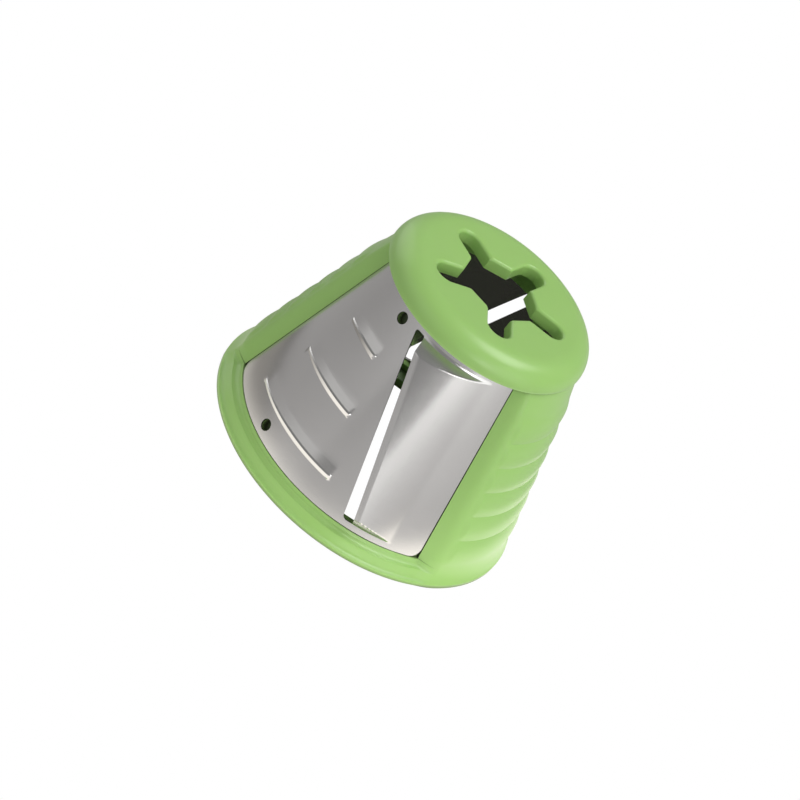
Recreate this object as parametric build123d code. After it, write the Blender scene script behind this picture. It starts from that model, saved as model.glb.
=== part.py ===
from build123d import *
import math
import os

# Slicing cone of a rotary grater: a moulded frame that holds two curved steel blade plates
# under a drive cap. Millimetres. The origin is the centre of the rim's bottom plane and +Z
# runs towards the small end. The blade plates are centred on -Y and +Y, the grips on -X and +X.

# Overall cone
total_height = 70.0
rim_radius = 49.0
half_angle = 15.0
cone_base_radius = 45.0

# Blade plates
steel = 0.6
plate_half_angle = 57.7
plate_bottom = 5.6
plate_top = 64.8
corner_radius = 3.0
hole_radius = 1.75
holes = ((-106.3, 57.8), (-112.0, 8.9))

# Slicing blade: a straight cut in the flat blank, with a wing raised beside it
cut_slope = 0.40
cut_offset = -48.2
slot_top = 59.5
slot_bottom = 7.3
blade_gap = 3.1
blade_rise = 3.4
hinge_angle = -45.0
gusset_length = 3.5

# Pressed ribs: height of the steep side, height of the fine side, first and last angle
ribs = ((13.0, 17.4, -131.3, -79.0), (28.8, 32.9, -129.8, -90.0), (44.3, 48.8, -126.8, -100.8))
rib_rise = 0.7
rib_steep_length = 1.5

# Moulded frame
rim_edge_height = 1.7
step_radius = 46.3
step_height = 3.8
step_width = 1.2
shelf_radius = 43.9
lip_radius = 38.0
lip_height = 2.6
frame_wall = 2.4
shelf_height = 5.5
plate_ledge_angle = 4.6
lug_radius = 3.2
lug_depth = 2.4
window_bottom = 6.7
window_top = 60.2
ring_top = 66.0
ring_inner_radius = 24.8

# Grips, one on each side between the blade plates
grip_half_angle = 30.6
shoulder_lap = 1.8
grip_core_angle = 24.0
grip_crest_radius = 49.3
grip_taper = 0.2668
grip_shell = 1.9
grip_hollow_angle = 22.0
first_valley = 7.5
valley_pitch = 7.86
valley_count = 7
valley_depth = 0.6
collar_radius = 33.8
collar_height = 56.0
stave_top = 62.5
hollow_bottom = 9.0
hollow_top = 57.5

# Drive cap with a five-lobed through socket
cap_bottom = 62.5
cap_radius = 32.2
cap_edge_radius = 31.4
cap_edge_height = 63.5
cap_face_radius = 24.8
cap_fit = 0.1
lobe_count = 5
lobe_tip_radius = 21.35
lobe_half_width = 3.7
tooth_radius = 11.3
socket_edge = 0.8

taper = math.tan(math.radians(half_angle))
slant = math.cos(math.radians(half_angle))
spread = math.sin(math.radians(half_angle))
apex_height = cone_base_radius / taper


def cone_radius(z, offset=0.0):
    """Radius at height z of the plates' outer surface, moved outwards by offset."""
    return cone_base_radius - z * taper + offset / slant


def polar(radius, angle, z):
    turn = math.radians(angle)
    return Vector(radius * math.cos(turn), radius * math.sin(turn), z)


def section(*points):
    """Closed outline of straight sides in the XZ plane, from (radius, height) pairs."""
    return make_face(Polyline(*[(r, 0, z) for r, z in points], close=True))


def ring(profile):
    return revolve(profile, Axis.Z)


def sector(profile, first, last):
    """Profile revolved about Z from the first angle to the last."""
    return Rot(0, 0, first) * revolve(profile, Axis.Z, last - first)


def band(inner, outer, low, high):
    """Section of a wall that lies between two offsets of the plate cone."""
    return section(
        (cone_radius(low, inner), low),
        (cone_radius(low, outer), low),
        (cone_radius(high, outer), high),
        (cone_radius(high, inner), high),
    )


def cut_angle(z, shift=0.0):
    """Angle at height z of a line beside the slot's straight edge in the unrolled plate."""
    distance = (apex_height - z) / slant
    lean = math.hypot(1.0, cut_slope)
    offset = cut_offset + shift * lean
    # on the blank the line is x = offset + cut_slope * y, and z is an arc about the apex
    turn = math.atan(cut_slope) + math.asin(offset / (distance * lean))
    return -90.0 + math.degrees(turn) / spread


# Blade plates


def drill(angle, z, radius, depth=3.0):
    """Cylinder square to the plate's surface, from 5 mm outside it to the depth inside it."""
    outside = 5.0
    start = Rot(0, 0, angle) * Pos(cone_radius(z), 0, z) * Rot(0, 90 - half_angle, 0)
    return start * Pos(0, 0, (outside - depth) / 2) * Cylinder(radius, outside + depth)


def corner_waste(side):
    """What is cut from a lower corner of the blank to round it."""
    level = plate_bottom + corner_radius * slant
    turn = math.degrees(corner_radius / cone_radius(level))
    edge = plate_half_angle + 1.0
    start = plate_half_angle - turn
    block = sector(band(-2.0, 2.0, plate_bottom - 1.0, level), start, edge)
    block -= drill(start, level, corner_radius)
    if side < 0:
        block = mirror(block, Plane.XZ)
    return Rot(0, 0, -90) * block


def plate_blank():
    blank = sector(
        band(-steel, 0.0, plate_bottom, plate_top),
        -90.0 - plate_half_angle,
        -90.0 + plate_half_angle,
    )
    return blank - corner_waste(1) - corner_waste(-1)


def rib_wedge(rib, offset, root, inset):
    low, high, first, last = rib
    steep = low + rib_steep_length
    wedge = section(
        (cone_radius(low, root), low),
        (cone_radius(low, offset), low),
        (cone_radius(steep, offset + rib_rise), steep),
        (cone_radius(high, offset), high),
        (cone_radius(high, root), high),
    )
    return sector(wedge, first + inset, last - inset)


def wing_section(z, offset, left_shift):
    """Cross-section at height z of the space under the wing's surface."""
    hinge_lap = 3.0
    depth = 9.0
    steps = 4
    edge = cut_angle(z, blade_gap)
    left = cut_angle(z, left_shift)
    right = hinge_angle + hinge_lap
    roof = []
    for k in range(steps + 1):
        angle = left + (right - left) * k / steps
        along = (hinge_angle - angle) / (hinge_angle - edge)
        roof.append(polar(cone_radius(z, offset) + blade_rise * along, angle, z))
    low_left = polar(cone_radius(z) - depth, left, z)
    low_right = polar(cone_radius(z) - depth, right, z)
    walls = [Line(roof[-1], low_right), Line(low_right, low_left), Line(low_left, roof[0])]
    return Wire([Spline(*roof), *walls])


def wing_space(offset, left_shift):
    """Space under the wing, closed above and below by the two gussets."""
    steps = 6
    lap = 0.4
    heights = [slot_bottom - lap + (slot_top - slot_bottom + 2 * lap) * k / steps for k in range(steps + 1)]
    body = Solid.make_loft([wing_section(z, offset, left_shift) for z in heights])
    over = 1.4
    slope = blade_rise / gusset_length
    edges = (
        (slot_bottom - lap, -lap * slope),
        (slot_bottom + over * gusset_length, over * blade_rise),
        (slot_top - over * gusset_length, over * blade_rise),
        (slot_top + lap, -lap * slope),
    )
    hood = [(cone_radius(z, offset) + rise, z) for z, rise in edges]
    inner = 10.0
    limit = ring(section((inner, slot_bottom - lap), *hood, (inner, slot_top + lap)))
    return body & limit


def slot_strip():
    """The open strip between the slot's straight edge and the blade's cutting edge."""
    steps = 6
    reach = 10.0
    slices = []
    for k in range(steps + 1):
        z = slot_bottom + (slot_top - slot_bottom) * k / steps
        left = cut_angle(z)
        right = cut_angle(z, blade_gap)
        near = cone_radius(z) - reach
        far = cone_radius(z) + reach
        corners = (polar(near, left, z), polar(far, left, z), polar(far, right, z), polar(near, right, z))
        slices.append(Wire(Polyline(*corners, close=True).edges()))
    return Solid.make_loft(slices)


def blade_plate_front():
    plate = plate_blank()
    for rib in ribs:
        plate += rib_wedge(rib, 0.0, -steel / 2, 0.0)
    for rib in ribs:
        plate -= rib_wedge(rib, -steel, -2 * steel, 1.0)
    plate += wing_space(0.0, blade_gap - 1.0)
    plate -= wing_space(-steel, 0.6)
    plate -= slot_strip()
    for angle, z in holes:
        plate -= drill(angle, z, hole_radius)
    return plate


# Moulded frame


def crest(z):
    return grip_crest_radius - grip_taper * z


def half_cage():
    """Rim, wall and small-end ring on the +X side, before the windows are cut."""
    wall = -steel - frame_wall
    rim = (
        (lip_radius, 0.0),
        (rim_radius - 0.3, 0.0),
        (rim_radius, 0.3),
        (rim_radius, rim_edge_height - 0.5),
        (rim_radius - 0.3, rim_edge_height),
        (step_radius, step_height),
        (step_radius - step_width, step_height + 0.3),
        (shelf_radius + 0.1, shelf_height - 0.3),
        (shelf_radius, shelf_height),
        (cone_radius(shelf_height, -steel), shelf_height),
    )
    small_end = (
        (cone_radius(ring_top, -steel), ring_top),
        (ring_inner_radius, ring_top),
        (ring_inner_radius, window_top),
        (cone_radius(window_top, wall), window_top),
    )
    mouth = (
        (cone_radius(lip_height + 1.5, wall), lip_height + 1.5),
        (lip_radius, lip_height),
    )
    return sector(section(*rim, *small_end, *mouth), -90.0, 90.0)


def window():
    """What is cut away behind the front plate, leaving a lug behind each round hole."""
    half = plate_half_angle - plate_ledge_angle
    opening = sector(band(-10.0, 5.0, window_bottom, window_top), -90.0 - half, -90.0 + half)
    for angle, z in holes:
        opening -= drill(angle, z, lug_radius, 12.0)
    return opening


def stave_band():
    """Section of a grip: a flare at the rim, scallops between sharp valleys, then the collar side."""
    valleys = [first_valley + valley_pitch * k for k in range(valley_count)]
    foot_height = rim_edge_height - 0.3
    start = (rim_radius - 0.5, 0, foot_height)
    bend = (step_radius + 0.9, 0, step_height + 0.4)
    line = [ThreePointArc(start, bend, (crest(valleys[0]) - valley_depth, 0, valleys[0]))]
    for low, high in zip(valleys, valleys[1:]):
        middle = (low + high) / 2
        foot = (crest(low) - valley_depth, 0, low)
        head = (crest(high) - valley_depth, 0, high)
        line.append(ThreePointArc(foot, (crest(middle), 0, middle), head))
    root = -steel - 1.0
    top = (cap_edge_radius + 0.1, 0, stave_top)
    inner_top = (cone_radius(stave_top, root), 0, stave_top)
    inner_foot = (cone_radius(foot_height, root), 0, foot_height)
    collar_foot = (collar_radius, 0, collar_height)
    line.append(Line((crest(valleys[-1]) - valley_depth, 0, valleys[-1]), collar_foot))
    line.append(Line(collar_foot, top))
    line.append(Line(top, inner_top))
    line.append(Line(inner_top, inner_foot))
    line.append(Line(inner_foot, start))
    return make_face(Wire(line))


def shoulder_plane(side):
    """Plane that slopes from the plate's level up to the crests, with its normal outwards."""
    foot = polar(cone_radius(0.0), side * grip_half_angle, 0.0)
    foot_above = polar(cone_radius(stave_top), side * grip_half_angle, stave_top)
    head = polar(crest(0.0) + 0.6, side * grip_core_angle, 0.0)
    along = foot_above - foot
    normal = along.cross(head - foot) * side
    return Plane(origin=foot, x_dir=along, z_dir=normal)


def grip():
    reach = grip_half_angle + shoulder_lap
    body = sector(stave_band(), -reach, reach)
    for side in (-1, 1):
        body = split(body, bisect_by=shoulder_plane(side), keep=Keep.BOTTOM)
    return body


def grip_hollow():
    return sector(band(-8.0, grip_shell, hollow_bottom, hollow_top), -grip_hollow_angle, grip_hollow_angle)


def cone_frame():
    half = half_cage() - window() - Rot(0, 0, 180) * window()
    for angle, z in holes:
        half -= Rot(0, 0, 180) * drill(angle, z, hole_radius, lug_depth)
    half += grip()
    half -= grip_hollow()
    return half + Rot(0, 0, 180) * half


# Drive cap


def socket_outline():
    lobe_angles = [90 + 360 / lobe_count * k for k in range(lobe_count)]
    corner = tooth_radius / math.cos(math.pi / lobe_count)
    star = make_face(Polyline(*[polar(corner, a, 0) for a in lobe_angles], close=True))
    reach = lobe_tip_radius - lobe_half_width
    for a in lobe_angles:
        arm = Pos(reach / 2, 0) * Rectangle(reach, 2 * lobe_half_width)
        star += Rot(0, 0, a) * (arm + Pos(reach, 0) * Circle(lobe_half_width))
    return star


def drive_cap():
    outline = [
        (0.0, ring_top),
        (cone_radius(ring_top, cap_fit), ring_top),
        (cone_radius(cap_bottom, cap_fit), cap_bottom),
        (cap_edge_radius, cap_bottom),
    ]
    points = [(r, 0, z) for r, z in outline]
    edge = (cap_edge_radius + 0.6, 0, cap_bottom + 0.35)
    shoulder = (cap_radius, 0, cap_edge_height)
    face_edge = (cap_face_radius, 0, total_height)
    line = [Polyline(*points), ThreePointArc(points[-1], edge, shoulder)]
    centre = (cap_face_radius, cap_edge_height)
    wide = cap_radius - cap_face_radius
    line.append(Plane.XZ * EllipticalCenterArc(centre, wide, total_height - cap_edge_height, arc_size=90))
    line.append(Polyline(face_edge, (0, 0, total_height), points[0]))
    edges = [e for part in line for e in part.edges()]
    body = ring(make_face(Wire(edges)))
    socket = extrude(Pos(0, 0, ring_top - 1) * socket_outline(), total_height - ring_top + 2)
    body -= socket
    mouth = [e for e in body.edges() if abs(e.center().Z - total_height) < 0.01]
    mouth = [e for e in mouth if e.bounding_box().max.X < cap_face_radius - 0.5]
    return fillet(mouth, socket_edge)


os.makedirs("parts", exist_ok=True)
front = blade_plate_front()
export_step(cone_frame(), "parts/cone_frame.step")
export_step(drive_cap(), "parts/drive_cap.step")
export_step(front, "parts/blade_plate_front.step")
export_step(Rot(0, 0, 180) * front, "parts/blade_plate_rear.step")
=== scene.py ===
import bpy
import math
from mathutils import Euler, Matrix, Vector


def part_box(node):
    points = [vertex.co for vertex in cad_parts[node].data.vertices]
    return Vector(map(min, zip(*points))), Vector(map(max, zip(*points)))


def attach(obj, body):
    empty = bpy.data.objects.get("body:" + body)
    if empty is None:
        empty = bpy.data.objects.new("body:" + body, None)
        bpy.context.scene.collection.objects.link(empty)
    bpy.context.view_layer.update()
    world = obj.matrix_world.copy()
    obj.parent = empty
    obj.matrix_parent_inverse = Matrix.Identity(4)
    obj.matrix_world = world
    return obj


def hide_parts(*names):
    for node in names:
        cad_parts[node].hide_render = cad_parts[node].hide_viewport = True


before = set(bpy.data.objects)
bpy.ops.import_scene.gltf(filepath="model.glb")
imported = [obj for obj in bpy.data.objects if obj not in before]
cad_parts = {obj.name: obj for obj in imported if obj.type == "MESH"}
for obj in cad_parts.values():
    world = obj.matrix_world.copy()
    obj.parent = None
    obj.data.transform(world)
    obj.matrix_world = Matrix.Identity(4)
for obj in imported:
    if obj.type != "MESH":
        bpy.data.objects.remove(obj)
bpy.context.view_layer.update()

mm = 0.001  # settings are in millimetres, the scene is in metres
mergeReach = 0.000002  # points closer than this, in metres, become one
tiny = 1e-6  # keeps rounding from missing a boundary

# the cone that the blade plates lie on, read from the frame where it can be
cone = {
    "baseRadius": 45.0,
    "halfAngle": 15.0,
    "height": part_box("drive_cap")[1].z / mm,
    "rimRadius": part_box("cone_frame")[1].x / mm,
}
cone["taper"] = math.tan(math.radians(cone["halfAngle"]))
cone["slant"] = math.cos(math.radians(cone["halfAngle"]))
cone["spread"] = math.sin(math.radians(cone["halfAngle"]))
cone["apex"] = cone["baseRadius"] / cone["taper"]


def coneRadius(z, offset=0.0):
    return cone["baseRadius"] - z * cone["taper"] + offset / cone["slant"]


def place(radius, angle, z):
    turn = math.radians(angle)
    return Vector((radius * math.cos(turn), radius * math.sin(turn), z)) * mm


def ramp(value, start, end):
    # 0 before the start, 1 after the end, with a soft curve between
    share = min(1.0, max(0.0, (value - start) / (end - start)))
    return share * share * (3 - 2 * share)


def stops(*runs):
    # runs of (end value, number of steps), the first run being the start value alone
    values = [runs[0]]
    for end, count in runs[1:]:
        start = values[-1]
        values += [start + (end - start) * k / count for k in range(1, count + 1)]
    return values


def select(obj, picker, kind="FACE"):
    # selects what the picker says in object mode and leaves the mesh in edit mode
    bpy.ops.object.mode_set(mode="EDIT")
    bpy.ops.mesh.select_mode(type=kind)
    bpy.ops.mesh.select_all(action="DESELECT")
    bpy.ops.object.mode_set(mode="OBJECT")
    items = {"FACE": obj.data.polygons, "EDGE": obj.data.edges}[kind]
    for item in items:
        item.select = picker(item)
    bpy.ops.object.mode_set(mode="EDIT")


def makeActive(obj):
    bpy.ops.object.select_all(action="DESELECT")
    obj.select_set(True)
    bpy.context.view_layer.objects.active = obj


def addGrid(name, columns, rows, shape, sheetPlace=None):
    # a flat grid whose point (column, row) is moved to shape(column, row)
    bpy.ops.object.select_all(action="DESELECT")
    bpy.ops.mesh.primitive_grid_add(x_subdivisions=columns - 1, y_subdivisions=rows - 1, size=1)
    obj = bpy.context.object
    obj.name = name
    obj.data.name = name
    spots = []
    for point in obj.data.vertices:
        column = round((point.co.x + 0.5) * (columns - 1))
        row = round((point.co.y + 0.5) * (rows - 1))
        spots.append((column, row))
        point.co = shape(column, row)
    if sheetPlace:
        layer = obj.data.uv_layers[0] if obj.data.uv_layers else obj.data.uv_layers.new(name="sheet")
        layer.name = "sheet"
        for loop in obj.data.loops:
            layer.data[loop.index].uv = sheetPlace(*spots[loop.vertex_index])
    return obj, spots


def applyModifier(obj, kind, **settings):
    makeActive(obj)
    modifier = obj.modifiers.new(kind.lower(), kind)
    for key, value in settings.items():
        setattr(modifier, key, value)
    bpy.ops.object.modifier_apply(modifier=modifier.name)


def mergeAndFaceOut(obj):
    makeActive(obj)
    bpy.ops.object.mode_set(mode="EDIT")
    bpy.ops.mesh.select_all(action="SELECT")
    bpy.ops.mesh.remove_doubles(threshold=mergeReach)
    bpy.ops.mesh.normals_make_consistent(inside=False)
    bpy.ops.object.mode_set(mode="OBJECT")


def smooth(obj, angle):
    makeActive(obj)
    bpy.ops.object.shade_smooth_by_angle(angle=math.radians(angle), keep_sharp_edges=True)


# blade plates

plate = {
    "steel": 0.6,
    "halfAngle": 57.7,
    "bottom": 5.6,
    "top": 64.8,
    "cornerRadius": 3.0,
    "holeRadius": 1.75,
    "holes": ((-106.3, 57.8), (-112.0, 8.9)),
    "ribs": ((13.0, 17.4, -131.3, -79.0), (28.8, 32.9, -129.8, -90.0), (44.3, 48.8, -126.8, -100.8)),
    "ribProfile": ((0.0, 0.0), (0.25, 0.24), (1.35, 0.66), (1.7, 0.22)),
    "ribSteps": (2, 8, 2),
    "ribNarrow": 0.6,  # width of a rib's pointed start, as a share of its full width
    "ribPoint": 0.55,
    "ribRamp": 14,  # the rise is complete one part in this many along the rib
    "ribEnd": 1.2,
    "cutSlope": 0.40,
    "cutOffset": -48.2,
    "slotTop": 59.5,
    "slotBottom": 7.3,
    "slotCorner": 1.0,
    "tuckShare": 0.35,  # rounding on the blade's side of the slot, as a share of the other side's
    "gap": 3.1,
    "wingRise": 3.4,
    "bevelWidth": 1.4,
    "bevelDrop": 0.5,
    "hinge": -45.0,
    "hingeSoft": 0.10,
    "gusset": 3.5,
    "gussetPower": 1.25,
    "edgeStep": 0.4,
    "punchDepth": 6.0,
    "punchSides": 40,
    "mapUnit": 100.0,  # millimetres of flat sheet in one unit of its map
    "smoothAngle": 28,
    "leftColumns": 150,
    "gapColumns": 4,
    "bevelColumns": 3,
    "wingColumns": 34,
    "borderColumns": 16,
}


def cutAngle(z, shift=0.0):
    # angle about the axis of a line beside the slot's straight edge on the flat sheet
    distance = (cone["apex"] - z) / cone["slant"]
    lean = math.hypot(1.0, plate["cutSlope"])
    offset = plate["cutOffset"] + shift * lean
    turn = math.atan(plate["cutSlope"]) + math.asin(offset / (distance * lean))
    return -90.0 + math.degrees(turn) / cone["spread"]


def roundedIn(distance, radius):
    # how far a rounded corner stands in from its side, at a distance from its end
    if distance >= radius:
        return 0.0
    inside = radius - distance
    return radius - math.sqrt(max(0.0, radius * radius - inside * inside))


def plateColumns(z):
    # angles of all the columns at one height, strip by strip
    degree = math.degrees(1.0 / coneRadius(z))
    corner = roundedIn((z - plate["bottom"]) / cone["slant"], plate["cornerRadius"])
    left = -90.0 - plate["halfAngle"] + corner * degree
    right = -90.0 + plate["halfAngle"] - corner * degree
    end = min(z - plate["slotBottom"], plate["slotTop"] - z)
    tuck = roundedIn(max(0.0, end), plate["slotCorner"])
    slotEdge = cutAngle(z, tuck)
    cutEdge = cutAngle(z, plate["gap"] - plate["tuckShare"] * tuck)
    bevelEdge = cutAngle(z, plate["gap"] + plate["bevelWidth"])
    runs = [
        left,
        (slotEdge, plate["leftColumns"]),
        (cutEdge, plate["gapColumns"]),
        (bevelEdge, plate["bevelColumns"]),
        (plate["hinge"], plate["wingColumns"]),
        (right, plate["borderColumns"]),
    ]
    return stops(*runs)


def pressRib(angle, z):
    # new height and rise of a point on a rib: a steep band on the rim's side, then a fine ramp
    for low, high, first, last in plate["ribs"]:
        if not (low < z < high and first < angle < last):
            continue
        along = (angle - first) / (last - first)
        remaining = (last - angle) * coneRadius(z) * math.pi / 180
        close = math.sqrt(max(0.0, 1 - (1 - min(1.0, remaining / plate["ribEnd"])) ** 2))
        width = plate["ribNarrow"] + (1 - plate["ribNarrow"]) * min(1.0, along / plate["ribPoint"])
        height = width * close * min(1.0, along * plate["ribRamp"])
        profile = list(plate["ribProfile"]) + [(high - low, 0.0)]
        steep = plate["ribProfile"][-1][0]
        for (lowPart, lowRise), (highPart, highRise) in zip(profile, profile[1:]):
            if z - low <= highPart + tiny:
                share = (z - low - lowPart) / (highPart - lowPart)
                rise = (lowRise + (highRise - lowRise) * share) * height
                break
        if z - low <= steep:
            return low + (z - low) * width, rise
        stretch = (high - low - steep * width) / (high - low - steep)
        return high - (high - z) * stretch, rise
    return z, 0.0


def wingRise(angle, z):
    # the raised wing: a soft bend at the hinge, a ground edge, and a gusset at each end
    cutEdge = cutAngle(z, plate["gap"])
    along = (plate["hinge"] - angle) / (plate["hinge"] - cutEdge)
    if along <= 0.0:
        return 0.0
    soft = plate["hingeSoft"]
    bent = along - soft / 2 if along > soft else along * along / (2 * soft)
    bent = plate["wingRise"] * min(1.0, bent / (1 - soft / 2))
    distance = (angle - cutEdge) * coneRadius(z) * math.pi / 180
    if distance < plate["bevelWidth"]:
        bent -= plate["bevelDrop"] * (1 - distance / plate["bevelWidth"])
    end = min(z - plate["slotBottom"], plate["slotTop"] - z) / plate["gusset"]
    wall = plate["wingRise"] * max(0.0, end) ** plate["gussetPower"]
    return min(bent, wall)


def plateRows():
    # heights of the rows, close together over the gussets and the ribs' steep bands
    runs = [plate["bottom"], (plate["bottom"] + plate["edgeStep"], 3), (plate["slotBottom"], 5)]
    runs += [(plate["slotBottom"] + plate["gusset"], 12)]
    for rib in plate["ribs"]:
        low, high = rib[:2]
        runs += [(low, 6)]
        for point, steps in zip(plate["ribProfile"][1:], plate["ribSteps"]):
            runs += [(low + point[0], steps)]
        runs += [(high, 6)]
    runs += [(plate["slotTop"] - plate["gusset"], 8), (plate["slotTop"], 24), (plate["top"], 8)]
    return stops(*runs)


def makePlate(name):
    heights = plateRows()
    table = [plateColumns(z) for z in heights]
    firstGap = plate["leftColumns"]
    lastGap = firstGap + plate["gapColumns"]

    def shape(column, row):
        angle = table[row][column]
        z, rise = pressRib(angle, heights[row])
        if column >= lastGap:
            rise += wingRise(angle, z)
        return place(coneRadius(z) + rise, angle, z)

    def flat(column, row):
        # the point's place on the unrolled sheet
        distance = (cone["apex"] - heights[row]) / cone["slant"] / plate["mapUnit"]
        turn = math.radians(table[row][column] + 90) * cone["spread"]
        return (distance * math.sin(turn), distance * math.cos(turn))

    obj, spots = addGrid(name, len(table[0]), len(heights), shape, flat)
    slotRows = (heights.index(plate["slotBottom"]), heights.index(plate["slotTop"]))

    def inSlot(face):
        columns = [spots[v][0] for v in face.vertices]
        rows = [spots[v][1] for v in face.vertices]
        inside = min(columns) >= firstGap and max(columns) <= lastGap
        return inside and min(rows) >= slotRows[0] and max(rows) <= slotRows[1]

    makeActive(obj)
    select(obj, inSlot)
    bpy.ops.mesh.delete(type="FACE")
    bpy.ops.mesh.select_all(action="SELECT")
    bpy.ops.mesh.normals_make_consistent(inside=False)
    bpy.ops.object.mode_set(mode="OBJECT")
    return obj


def punchHoles(obj):
    for angle, z in plate["holes"]:
        bpy.ops.object.select_all(action="DESELECT")
        bpy.ops.mesh.primitive_cylinder_add(
            vertices=plate["punchSides"],
            radius=plate["holeRadius"] * mm,
            depth=plate["punchDepth"] * mm,
            location=place(coneRadius(z), angle, z),
        )
        punch = bpy.context.object
        outward = Vector((math.cos(math.radians(angle)), math.sin(math.radians(angle)), cone["taper"]))
        punch.rotation_euler = outward.to_track_quat("Z", "Y").to_euler()
        applyModifier(obj, "BOOLEAN", operation="DIFFERENCE", solver="EXACT", object=punch)
        bpy.data.objects.remove(punch)


def finishPlate(obj):
    applyModifier(obj, "SOLIDIFY", thickness=plate["steel"] * mm, offset=-1.0)
    punchHoles(obj)
    smooth(obj, plate["smoothAngle"])


frontPlate = makePlate("bladePlateFront")
finishPlate(frontPlate)
rearPlate = frontPlate.copy()
rearPlate.data = frontPlate.data.copy()
rearPlate.name = "bladePlateRear"
rearPlate.data.name = "bladePlateRear"
bpy.context.scene.collection.objects.link(rearPlate)
makeActive(rearPlate)
rearPlate.rotation_euler = (0, 0, math.pi)
bpy.ops.object.transform_apply(location=True, rotation=True, scale=True)
print("blade plates made")


# moulded frame

moulding = {
    "rimLine": (  # height, and how far in from the rim's edge
        (0.0, 0.35),
        (0.35, 0.0),
        (1.2, 0.0),
        (1.45, 0.2),
        (1.6, 0.8),
        (1.9, 1.3),
        (3.6, 2.5),
        (3.85, 2.75),
        (3.98, 3.5),
        (4.15, 4.05),
        (4.7, 4.75),
        (5.5, 5.15),
    ),
    "rimSteps": (2, 2, 2, 1, 1, 4, 2, 1, 1, 3, 3),
    "lipRadius": 38.0,
    "lipHeight": 2.6,
    "lipChamfer": 1.5,
    "wall": 2.4,
    "ledgeAngle": 4.6,
    "windowBottom": 6.7,
    "windowTop": 60.2,
    "shelf": 5.5,
    "shelfStep": 0.01,  # keeps the rim's last row under the shelf
    "ringTop": 66.0,
    "ringInner": 24.8,
    "staveTop": 62.5,
    "crestRadius": 49.3,
    "crestTaper": 0.2668,
    "flareFoot": 1.5,
    "flareInset": 0.25,
    "flarePower": 2.1,
    "firstValley": 7.5,
    "valleyPitch": 7.86,
    "valleyCount": 7,
    "valleyDepth": 0.62,
    "rippleSteps": 10,
    "rippleFade": 2.4,
    "rippleLap": 0.8,
    "flatAngle": 18.0,  # this angle and the three below are degrees from a grip's middle
    "coreAngle": 23.6,
    "footAngle": 31.75,
    "grooveAngle": 32.3,
    "grooveDepth": 2.2,
    "grooveStep": 0.05,
    "shoulderPower": 1.15,
    "plateClear": 0.05,
    "shellOffset": -0.6,  # the shell's face lies against the inside of the plates
    "hollowAngle": 22.0,
    "hollowBottom": 9.0,
    "hollowTop": 57.5,
    "hollowEdge": 0.5,
    "hollowOffset": 1.9,
    "capSide": 31.5,
    "lugRadius": 3.2,
    "lugDepth": 2.4,
    "lugSides": 32,
    "angleSlack": 0.01,
    "smoothAngle": 24,
}
windowHalfAngle = plate["halfAngle"] - moulding["ledgeAngle"]


def windowOuter(z):
    # outer radius between the grips, from the rim's side up to the small end
    line = moulding["rimLine"]
    if z >= line[-1][0]:
        return coneRadius(z, moulding["shellOffset"])
    for (lowZ, lowR), (highZ, highR) in zip(line, line[1:]):
        if z <= highZ:
            inwards = lowR + (highR - lowR) * (z - lowZ) / (highZ - lowZ)
            return cone["rimRadius"] - inwards


def crestRadius(z):
    return moulding["crestRadius"] - moulding["crestTaper"] * z


def gripOuter(z, ripple):
    # outer radius over a grip's middle: flare, scallops, then the collar's side
    first = moulding["firstValley"]
    last = first + moulding["valleyPitch"] * (moulding["valleyCount"] - 1)
    depth = moulding["valleyDepth"] * ripple
    if z < first:
        share = (first - z) / (first - moulding["flareFoot"])
        foot = crestRadius(first) - moulding["valleyDepth"]
        spread = cone["rimRadius"] - moulding["flareInset"] - foot
        flare = foot + spread * share ** moulding["flarePower"]
        return min(flare, cone["rimRadius"])
    if z <= last:
        share = ((z - first) / moulding["valleyPitch"]) % 1.0
        arch = 1 - (2 * share - 1) ** 2
        return crestRadius(z) - moulding["valleyDepth"] + depth * arch
    share = (z - last) / (moulding["staveTop"] - last)
    start = crestRadius(last) - moulding["valleyDepth"]
    return start + (moulding["capSide"] - start) * share


def gripShare(side):
    # 0 at the foot of the shoulder, 1 on the grip: side is degrees from the grip's middle
    share = (moulding["footAngle"] - side) / (moulding["footAngle"] - moulding["coreAngle"])
    share = min(1.0, max(0.0, share))
    return math.sin(share * math.pi / 2) ** moulding["shoulderPower"]


def frameOuter(side, z):
    # outer radius: the window's face, the groove beside a plate, or the shoulder and grip
    window = windowOuter(z)
    if side >= moulding["grooveAngle"]:
        return window
    if side > moulding["footAngle"]:
        if z < moulding["shelf"]:
            return window
        return coneRadius(z, -moulding["grooveDepth"])
    fade = moulding["coreAngle"] - moulding["rippleFade"]
    ripple = 1 - ramp(side, fade, moulding["coreAngle"] + moulding["rippleLap"])
    grip = gripOuter(z, ripple)
    level = max(window, coneRadius(z, moulding["plateClear"]))
    return max(level + (grip - level) * gripShare(side), window)


def frameInner(side, z):
    # inner radius: the shell's inside, pushed out behind the grips
    inside = coneRadius(z, moulding["shellOffset"] - moulding["wall"])
    edge = moulding["hollowEdge"]
    across = 1 - ramp(side, moulding["hollowAngle"] - edge, moulding["hollowAngle"])
    up = ramp(z, moulding["hollowBottom"] - edge, moulding["hollowBottom"])
    up *= 1 - ramp(z, moulding["hollowTop"], moulding["hollowTop"] + edge)
    return inside + (coneRadius(z, moulding["hollowOffset"]) - inside) * across * up


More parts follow.
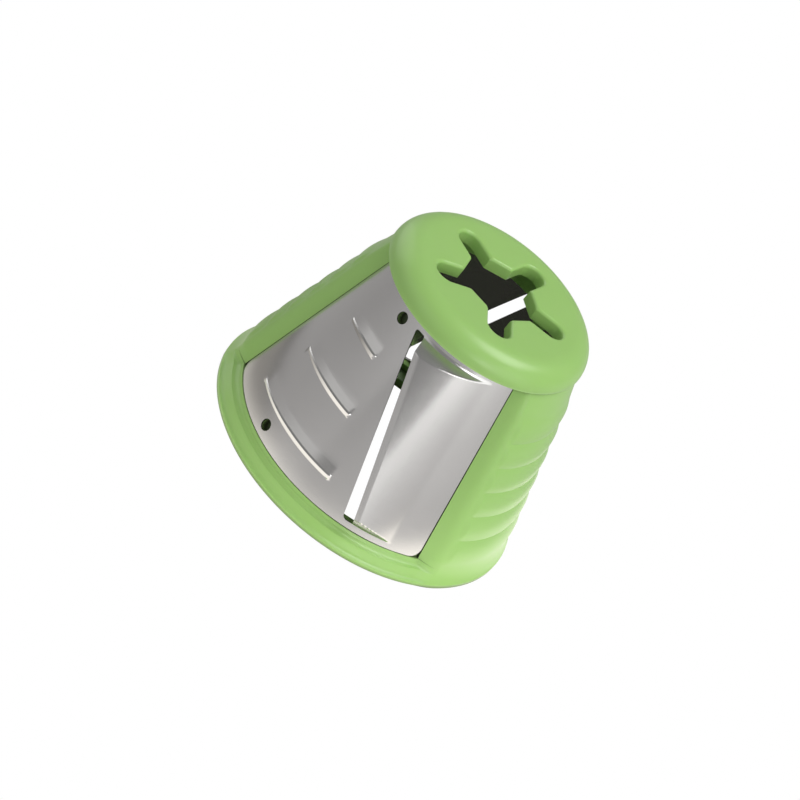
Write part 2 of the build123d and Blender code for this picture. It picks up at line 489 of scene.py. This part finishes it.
def frameLoop():
    # (part of the wall, height) all round the wall's section, starting at the lip
    first = moulding["firstValley"]
    last = first + moulding["valleyPitch"] * (moulding["valleyCount"] - 1)
    ends = [point[0] for point in moulding["rimLine"]]
    ends[-1] -= moulding["shelfStep"]
    rim = stops(ends[0], *zip(ends[1:], moulding["rimSteps"]))
    ripples = (moulding["valleyCount"] - 1) * moulding["rippleSteps"]
    wall = stops(moulding["shelf"], (moulding["windowBottom"], 3), (first, 2), (last, ripples))
    wall += stops(last, (moulding["windowTop"], 6), (moulding["staveTop"], 3))[1:]
    loop = [("outer", z) for z in rim] + [("outer", z) for z in wall]
    loop += [("neck", moulding["staveTop"]), ("neck", moulding["ringTop"])]
    loop += [("ring", moulding["ringTop"]), ("ring", moulding["windowTop"])]
    inner = [z for z in wall if moulding["windowBottom"] <= z <= moulding["windowTop"]]
    loop += [("inner", z) for z in reversed(inner)]
    loop += [("inner", moulding["lipHeight"] + moulding["lipChamfer"])]
    loop += [("lip", moulding["lipHeight"]), ("lip", 0.0)]
    return loop + loop[:1]


def sideAngle(angle):
    # degrees from the nearer grip's middle
    away = abs((angle + 180) % 360 - 180)
    return min(away, 180 - away)


def frameColumns():
    # angles all round, from one grip's middle, close together on the shoulders
    foot = moulding["footAngle"]
    groove = moulding["grooveAngle"]
    step = moulding["grooveStep"]
    shoulder = ((moulding["flatAngle"], 12), (foot, 40), (foot + step, 1))
    quarter = stops(0.0, *shoulder, (groove - step, 1), (groove, 1))
    quarter += stops(groove, (90.0 - windowHalfAngle, 4), (90.0, 36))[1:]
    half = quarter + [180 - a for a in reversed(quarter[:-1])]
    return half + [360 - a for a in reversed(half[:-1])]


def makeFrame():
    angles = frameColumns()
    loop = frameLoop()

    def shape(column, row):
        part, z = loop[row]
        side = sideAngle(angles[column])
        if part == "outer":
            radius = frameOuter(side, z)
        elif part == "neck":
            radius = coneRadius(z, moulding["shellOffset"])
        elif part == "ring":
            radius = moulding["ringInner"]
        elif part == "lip":
            radius = moulding["lipRadius"]
        else:
            radius = frameInner(side, z)
        return place(radius, angles[column], z)

    obj, spots = addGrid("coneFrame", len(angles), len(loop), shape)
    limit = windowHalfAngle + moulding["angleSlack"]

    def inWindow(face):
        for v in face.vertices:
            column, row = spots[v]
            part, z = loop[row]
            inHeight = moulding["windowBottom"] <= z <= moulding["windowTop"]
            inWidth = 90 - sideAngle(angles[column]) <= limit
            if not (inHeight and inWidth and part in ("outer", "inner")):
                return False
        return True

    makeActive(obj)
    select(obj, inWindow)
    bpy.ops.mesh.delete(type="FACE")
    bpy.ops.object.mode_set(mode="OBJECT")
    mergeAndFaceOut(obj)
    return obj


def bridgeWindow(obj, side):
    # joins the outer and inner rims of one window by its four side walls
    select(obj, lambda edge: False, "EDGE")
    bpy.ops.mesh.select_non_manifold()
    bpy.ops.object.mode_set(mode="OBJECT")
    for edge in obj.data.edges:
        if edge.select:
            middle = sum(obj.data.vertices[v].co.y for v in edge.vertices) / 2
            edge.select = middle * side > 0
    bpy.ops.object.mode_set(mode="EDIT")
    bpy.ops.mesh.bridge_edge_loops()
    bpy.ops.object.mode_set(mode="OBJECT")


def makeLug(angle, z):
    # round boss behind a plate's hole, with a blind hole in its face
    outside = moulding["shellOffset"]
    inside = outside - moulding["wall"]
    bottom = -moulding["lugDepth"]
    hole = plate["holeRadius"]
    wide = moulding["lugRadius"]
    profile = ((0, bottom), (hole, bottom), (hole, outside), (wide, outside), (wide, inside), (0, inside))
    outward = Vector((cone["slant"], 0, cone["spread"]))
    across = Vector((0, 1, 0))
    upward = outward.cross(across)

    def shape(column, row):
        radius, depth = profile[row]
        turn = 2 * math.pi * column / moulding["lugSides"]
        spot = Vector((coneRadius(z), 0, z)) + outward * depth
        spot += (across * math.cos(turn) + upward * math.sin(turn)) * radius
        spot.rotate(Euler((0, 0, math.radians(angle))))
        return spot * mm

    lug = addGrid("lug", moulding["lugSides"] + 1, len(profile), shape)[0]
    mergeAndFaceOut(lug)
    return lug


coneFrame = makeFrame()
bridgeWindow(coneFrame, -1)
bridgeWindow(coneFrame, 1)
mergeAndFaceOut(coneFrame)
lugs = [makeLug(angle + turn, z) for angle, z in plate["holes"] for turn in (0, 180)]
makeActive(coneFrame)
for lug in lugs:
    lug.select_set(True)
bpy.ops.object.join()
smooth(coneFrame, moulding["smoothAngle"])
print("moulded frame made")


# drive cap

cap = {
    "bottom": 62.5,
    "radius": 32.2,
    "edgeRadius": 31.4,
    "edgeHeight": 63.5,
    "faceRadius": 24.8,
    "faceInset": 1.0,
    "skirt": ((0.08, 0.4), (0.3, 0.75)),  # inwards and down from the widest line
    "ceiling": 66.0,
    "fit": 0.1,
    "lobes": 5,
    "lobeTip": 21.35,
    "lobeHalfWidth": 3.7,
    "toothRadius": 11.3,
    "toothHalfWidth": 3.65,
    "mouthRound": 1.0,
    "filletSteps": 6,
    "shoulderSteps": 14,
    "smoothAngle": 30,
}


def socketReach(turn, grow):
    # distance from the axis to the socket's wall: turn is degrees from a lobe's middle
    angle = math.radians(turn)
    halfWidth = cap["lobeHalfWidth"] + grow
    centre = cap["lobeTip"] - cap["lobeHalfWidth"]
    tip = centre * math.cos(angle) + math.sqrt(max(0.0, halfWidth ** 2 - (centre * math.sin(angle)) ** 2))
    if abs(math.sin(angle)) * centre >= halfWidth:
        tip = 0.0
    side = halfWidth / max(tiny, abs(math.sin(angle)))
    if side * math.cos(angle) > centre:
        side = tip
    tooth = (cap["toothRadius"] + grow) / math.cos(math.radians(180 / cap["lobes"]) - abs(angle))
    return max(tooth, side if side > 0 else tip)


def socketTurns():
    # angles round the socket: close together where the wall bends
    centre = cap["lobeTip"] - cap["lobeHalfWidth"]
    roundStart = math.degrees(math.atan2(cap["lobeHalfWidth"], centre))
    pitch = 180 / cap["lobes"]
    corner = pitch - math.degrees(math.atan2(cap["toothHalfWidth"], cap["toothRadius"]))
    half = stops(0.0, (roundStart, 10), (corner, 10), (pitch, 6))
    whole = [-a for a in reversed(half[1:])] + half[:-1]
    turns = []
    for lobe in range(cap["lobes"]):
        middle = 90 + 360 / cap["lobes"] * lobe
        turns += [(middle, a) for a in whole]
    return turns + turns[:1]


def capLoop():
    # (kind of ring, size, height) from the socket's foot, over the top and back underneath
    top = cone["height"]
    curve = cap["mouthRound"]
    loop = [("socket", 0.0, cap["ceiling"])]
    for k in range(cap["filletSteps"] + 1):
        turn = math.pi / 2 * k / cap["filletSteps"]
        loop.append(("socket", curve * (1 - math.cos(turn)), top - curve * (1 - math.sin(turn))))
    rise = top - cap["edgeHeight"]
    reach = cap["radius"] - cap["faceRadius"]
    loop.append(("round", cap["faceRadius"] - cap["faceInset"], top))
    for k in range(cap["shoulderSteps"] + 1):
        turn = math.pi / 2 * (1 - k / cap["shoulderSteps"])
        radius = cap["faceRadius"] + reach * math.cos(turn)
        loop.append(("round", radius, cap["edgeHeight"] + rise * math.sin(turn)))
    for inwards, down in cap["skirt"]:
        loop.append(("round", cap["radius"] - inwards, cap["edgeHeight"] - down))
    loop.append(("round", cap["edgeRadius"], cap["bottom"]))
    for z in (cap["bottom"], cap["ceiling"]):
        loop.append(("round", coneRadius(z, cap["fit"]), z))
    return loop + loop[:1]


def makeCap():
    turns = socketTurns()
    loop = capLoop()

    def shape(column, row):
        kind, size, z = loop[row]
        middle, turn = turns[column]
        radius = size if kind == "round" else socketReach(turn, size)
        return place(radius, middle + turn, z)

    obj = addGrid("driveCap", len(turns), len(loop), shape)[0]
    mergeAndFaceOut(obj)
    smooth(obj, cap["smoothAngle"])
    return obj


driveCap = makeCap()
print("drive cap made")


# materials

def newMaterial(name):
    material = bpy.data.materials.new(name)
    material.use_nodes = True
    nodes = material.node_tree.nodes
    links = material.node_tree.links
    return material, nodes, links, nodes["Principled BSDF"]


def addNoise(nodes, links, where, scale, detail):
    noise = nodes.new("ShaderNodeTexNoise")
    noise.inputs["Scale"].default_value = scale
    noise.inputs["Detail"].default_value = detail
    links.new(where, noise.inputs["Vector"])
    return noise.outputs["Fac"]


def addRange(nodes, links, value, before, after):
    # brings the value from one range (low, high) to another
    change = nodes.new("ShaderNodeMapRange")
    for socket, number in zip(("From Min", "From Max", "To Min", "To Max"), before + after):
        change.inputs[socket].default_value = number
    links.new(value, change.inputs["Value"])
    return change.outputs["Result"]


def addBlend(nodes, links, share, first):
    # a colour mix from the first colour to what the caller puts in B
    blend = nodes.new("ShaderNodeMix")
    blend.data_type = "RGBA"
    blend.inputs["A"].default_value = first
    links.new(share, blend.inputs["Factor"])
    return blend


def addBump(nodes, links, shader, height, strength, depth):
    bump = nodes.new("ShaderNodeBump")
    bump.inputs["Strength"].default_value = strength
    bump.inputs["Distance"].default_value = depth
    links.new(height, bump.inputs["Height"])
    links.new(bump.outputs["Normal"], shader.inputs["Normal"])


plastic = {
    "colour": (0.385, 0.65, 0.195, 1),
    "shade": (0.35, 0.61, 0.165, 1),
    "driftScale": 42.0,
    "driftDetail": 3.0,
    # painted shade: the dark colour laid into gaps, blind holes and recesses
    "paintedShadeColour": (0.06, 0.08, 0.035, 1),
    "paintedShadeReach": 0.003,
    "paintedShadeRange": (0.45, 0.85),
    "paintedShadeSamples": 8,
    "roughRange": (0.25, 0.37),
    "grainScale": 2600.0,  # fine spark texture
    "grainDetail": 2.0,
    "grainBump": 0.10,
    "grainDepth": 0.00004,
    "subsurface": 0.12,
    "subsurfaceRadius": (0.6, 1.0, 0.35),
    "subsurfaceScale": 0.002,
    "ior": 1.49,
}


def makePlastic():
    material, nodes, links, shader = newMaterial("appleGreenPlastic")
    spot = nodes.new("ShaderNodeTexCoord").outputs["Object"]
    drift = addNoise(nodes, links, spot, plastic["driftScale"], plastic["driftDetail"])
    moulded = addBlend(nodes, links, drift, plastic["shade"])
    moulded.inputs["B"].default_value = plastic["colour"]
    shadeOcclusion = nodes.new("ShaderNodeAmbientOcclusion")  # painted shade: darker in gaps, blind holes and other recesses, where shade falls
    shadeOcclusion.inputs["Distance"].default_value = plastic["paintedShadeReach"]
    shadeOcclusion.samples = plastic["paintedShadeSamples"]
    clear = addRange(nodes, links, shadeOcclusion.outputs["AO"], plastic["paintedShadeRange"], (0.0, 1.0))
    shadedColour = addBlend(nodes, links, clear, plastic["paintedShadeColour"])
    links.new(moulded.outputs["Result"], shadedColour.inputs["B"])
    links.new(shadedColour.outputs["Result"], shader.inputs["Base Color"])
    rough = addRange(nodes, links, drift, (0.0, 1.0), plastic["roughRange"])
    links.new(rough, shader.inputs["Roughness"])
    grain = addNoise(nodes, links, spot, plastic["grainScale"], plastic["grainDetail"])
    addBump(nodes, links, shader, grain, plastic["grainBump"], plastic["grainDepth"])
    shader.inputs["Subsurface Weight"].default_value = plastic["subsurface"]
    shader.inputs["Subsurface Radius"].default_value = plastic["subsurfaceRadius"]
    shader.inputs["Subsurface Scale"].default_value = plastic["subsurfaceScale"]
    shader.inputs["IOR"].default_value = plastic["ior"]
    return material


steelFinish = {
    "colour": (0.72, 0.71, 0.695, 1),
    "shade": (0.66, 0.65, 0.635, 1),
    "driftScale": 5.0,
    "driftDetail": 4.0,
    "roughRange": (0.15, 0.28),
    "markStretch": (6.0, 300.0, 1.0),  # rolling marks run across the sheet
    "markScale": 3.0,
    "markDetail": 5.0,
    "markBump": 0.06,
    "markDepth": 0.00003,
}


def makeSteel():
    material, nodes, links, shader = newMaterial("satinSteel")
    sheet = nodes.new("ShaderNodeUVMap")
    sheet.uv_map = "sheet"
    spot = sheet.outputs["UV"]
    stretch = nodes.new("ShaderNodeMapping")
    stretch.inputs["Scale"].default_value = steelFinish["markStretch"]
    links.new(spot, stretch.inputs["Vector"])
    lines = stretch.outputs["Vector"]
    marks = addNoise(nodes, links, lines, steelFinish["markScale"], steelFinish["markDetail"])
    drift = addNoise(nodes, links, spot, steelFinish["driftScale"], steelFinish["driftDetail"])
    rolled = addBlend(nodes, links, drift, steelFinish["shade"])
    rolled.inputs["B"].default_value = steelFinish["colour"]
    links.new(rolled.outputs["Result"], shader.inputs["Base Color"])
    rough = addRange(nodes, links, marks, (0.0, 1.0), steelFinish["roughRange"])
    links.new(rough, shader.inputs["Roughness"])
    addBump(nodes, links, shader, marks, steelFinish["markBump"], steelFinish["markDepth"])
    shader.inputs["Metallic"].default_value = 1.0
    return material


greenPlastic = makePlastic()
satinSteel = makeSteel()
standsFor = {
    "cone_frame": (coneFrame, greenPlastic, "moulded_plastic"),
    "drive_cap": (driveCap, greenPlastic, "moulded_plastic"),
    "blade_plate_front": (frontPlate, satinSteel, "blade_steel"),
    "blade_plate_rear": (rearPlate, satinSteel, "blade_steel"),
}
for node, (piece, material, slotName) in standsFor.items():
    piece.data.materials.clear()
    piece.data.materials.append(material)
    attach(piece, "root")
    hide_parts(node)
    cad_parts[node].data.materials.clear()
    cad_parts[node].data.materials.append(material)
print("materials made")


# floor, light and camera

studio = {
    "floorSize": 6.0,
    "floorDrop": 0.0002,
    "floorGrey": (0.36, 0.355, 0.355, 1),
    "poolInner": 0.046,
    "poolBright": (0.050, 0.084),
    "poolOuter": 0.098,
    "poolEdge": 0.01,
    # painted shadow: dark colour for the floor beneath the object, seen in reflections and lighting the
    # inside
    "paintedShadowBeneath": (0.020, 0.021, 0.017, 1),
    "poolColour": (1, 0.96, 0.90, 1),
    "poolDark": 0.25,
    "poolSides": (-0.062, -0.030),
    "bounceSides": (-0.25, 0.25),
    "bounce": (1.0, 1.75),  # strength of the floor's light on the left and on the right
    "worldColour": (1, 1, 1, 1),
    "worldStrength": 0.25,
    "lamps": (  # name, direction, distance, size and power
        ("overheadSoftbox", (0.33, 0.17, 0.93), 1.2, 0.6, 6.8),
        ("keySoftbox", (0.66, -0.66, 0.36), 1.2, 0.34, 1.5),
        ("sidePanel", (0.87, -0.30, 0.35), 1.4, 1.2, 5.0),
        ("leftPanel", (-0.62, -0.74, 0.30), 1.5, 1.9, 4.6),
        ("backFill", (-0.90, 0.35, 0.35), 1.5, 1.2, 4.5),
    ),
    "lens": 135.0,
    "sensor": 36.0,
    "cameraPlace": (0.1822, -0.6871, 0.4747),
    "cameraTarget": (-0.00173, -0.00046, 0.0212),
    "cameraRoll": 39.79,
}


def makeFloor():
    bpy.ops.object.select_all(action="DESELECT")
    bpy.ops.mesh.primitive_plane_add(size=studio["floorSize"], location=(0, 0, -studio["floorDrop"]))
    floor = bpy.context.object
    floor.name = "studioFloor"
    material, nodes, links, shader = newMaterial("paleFloor")
    nodes.remove(shader)
    spot = nodes.new("ShaderNodeTexCoord").outputs["Object"]
    length = nodes.new("ShaderNodeVectorMath")
    length.operation = "LENGTH"
    links.new(spot, length.inputs[0])
    reach = length.outputs["Value"]
    # what the object reflects and is lit by, painted light from a floor that glows though it is no lamp:
    # a painted shadow beneath, then a painted pool of light, then grey
    pool = nodes.new("ShaderNodeValToRGB")
    ring = pool.color_ramp.elements
    ring[0].position = studio["poolInner"]
    ring[0].color = studio["paintedShadowBeneath"]
    ring[1].position = studio["poolOuter"]
    ring[1].color = studio["floorGrey"]
    for position in studio["poolBright"]:
        ring.new(position).color = studio["poolColour"]
    links.new(reach, pool.inputs["Fac"])
    bounce = nodes.new("ShaderNodeEmission")
    links.new(pool.outputs["Color"], bounce.inputs["Color"])
    apart = nodes.new("ShaderNodeSeparateXYZ")
    links.new(spot, apart.inputs["Vector"])
    across = addRange(nodes, links, apart.outputs["X"], studio["bounceSides"], studio["bounce"])
    # the pool fades towards the left, and nothing outside the pool does
    left = addRange(nodes, links, apart.outputs["X"], studio["poolSides"], (studio["poolDark"], 1.0))
    poolEnd = (studio["poolOuter"], studio["poolOuter"] + studio["poolEdge"])
    near = addRange(nodes, links, reach, poolEnd, (1.0, 0.0))
    fade = nodes.new("ShaderNodeMix")
    fade.inputs["A"].default_value = 1.0
    links.new(near, fade.inputs["Factor"])
    links.new(left, fade.inputs["B"])
    strength = nodes.new("ShaderNodeMath")
    strength.operation = "MULTIPLY"
    links.new(across, strength.inputs[0])
    links.new(fade.outputs["Result"], strength.inputs[1])
    links.new(strength.outputs["Value"], bounce.inputs["Strength"])
    # the floor is plain white where it is seen directly
    glow = nodes.new("ShaderNodeEmission")
    path = nodes.new("ShaderNodeLightPath")
    both = nodes.new("ShaderNodeMixShader")
    links.new(path.outputs["Is Camera Ray"], both.inputs["Fac"])
    links.new(bounce.outputs["Emission"], both.inputs[1])
    links.new(glow.outputs["Emission"], both.inputs[2])
    links.new(both.outputs["Shader"], nodes["Material Output"].inputs["Surface"])
    floor.data.materials.append(material)


def softLight(name, direction, distance, size, power):
    lamp = bpy.data.lights.new(name, "AREA")
    lamp.shape = "SQUARE"
    lamp.size = size
    lamp.energy = power
    obj = bpy.data.objects.new(name, lamp)
    bpy.context.scene.collection.objects.link(obj)
    obj.location = Vector(direction).normalized() * distance
    obj.rotation_euler = (-Vector(direction)).to_track_quat("-Z", "Y").to_euler()


def makeStudio():
    makeFloor()
    world = bpy.data.worlds.new("studioWorld")
    world.use_nodes = True
    back = world.node_tree.nodes["Background"]
    back.inputs["Color"].default_value = studio["worldColour"]
    back.inputs["Strength"].default_value = studio["worldStrength"]
    bpy.context.scene.world = world
    for lamp in studio["lamps"]:
        softLight(*lamp)
    bpy.context.scene.view_settings.view_transform = "Standard"


def makeCamera():
    lens = bpy.data.cameras.new("studioCamera")
    lens.lens = studio["lens"]
    lens.sensor_width = studio["sensor"]
    camera = bpy.data.objects.new("studioCamera", lens)
    bpy.context.scene.collection.objects.link(camera)
    spot = Vector(studio["cameraPlace"])
    camera.location = spot
    look = (Vector(studio["cameraTarget"]) - spot).to_track_quat("-Z", "Y")
    camera.rotation_euler = look.to_euler()
    camera.rotation_euler.rotate_axis("Z", math.radians(studio["cameraRoll"]))
    bpy.context.scene.camera = camera


makeStudio()
makeCamera()
print("studio made")
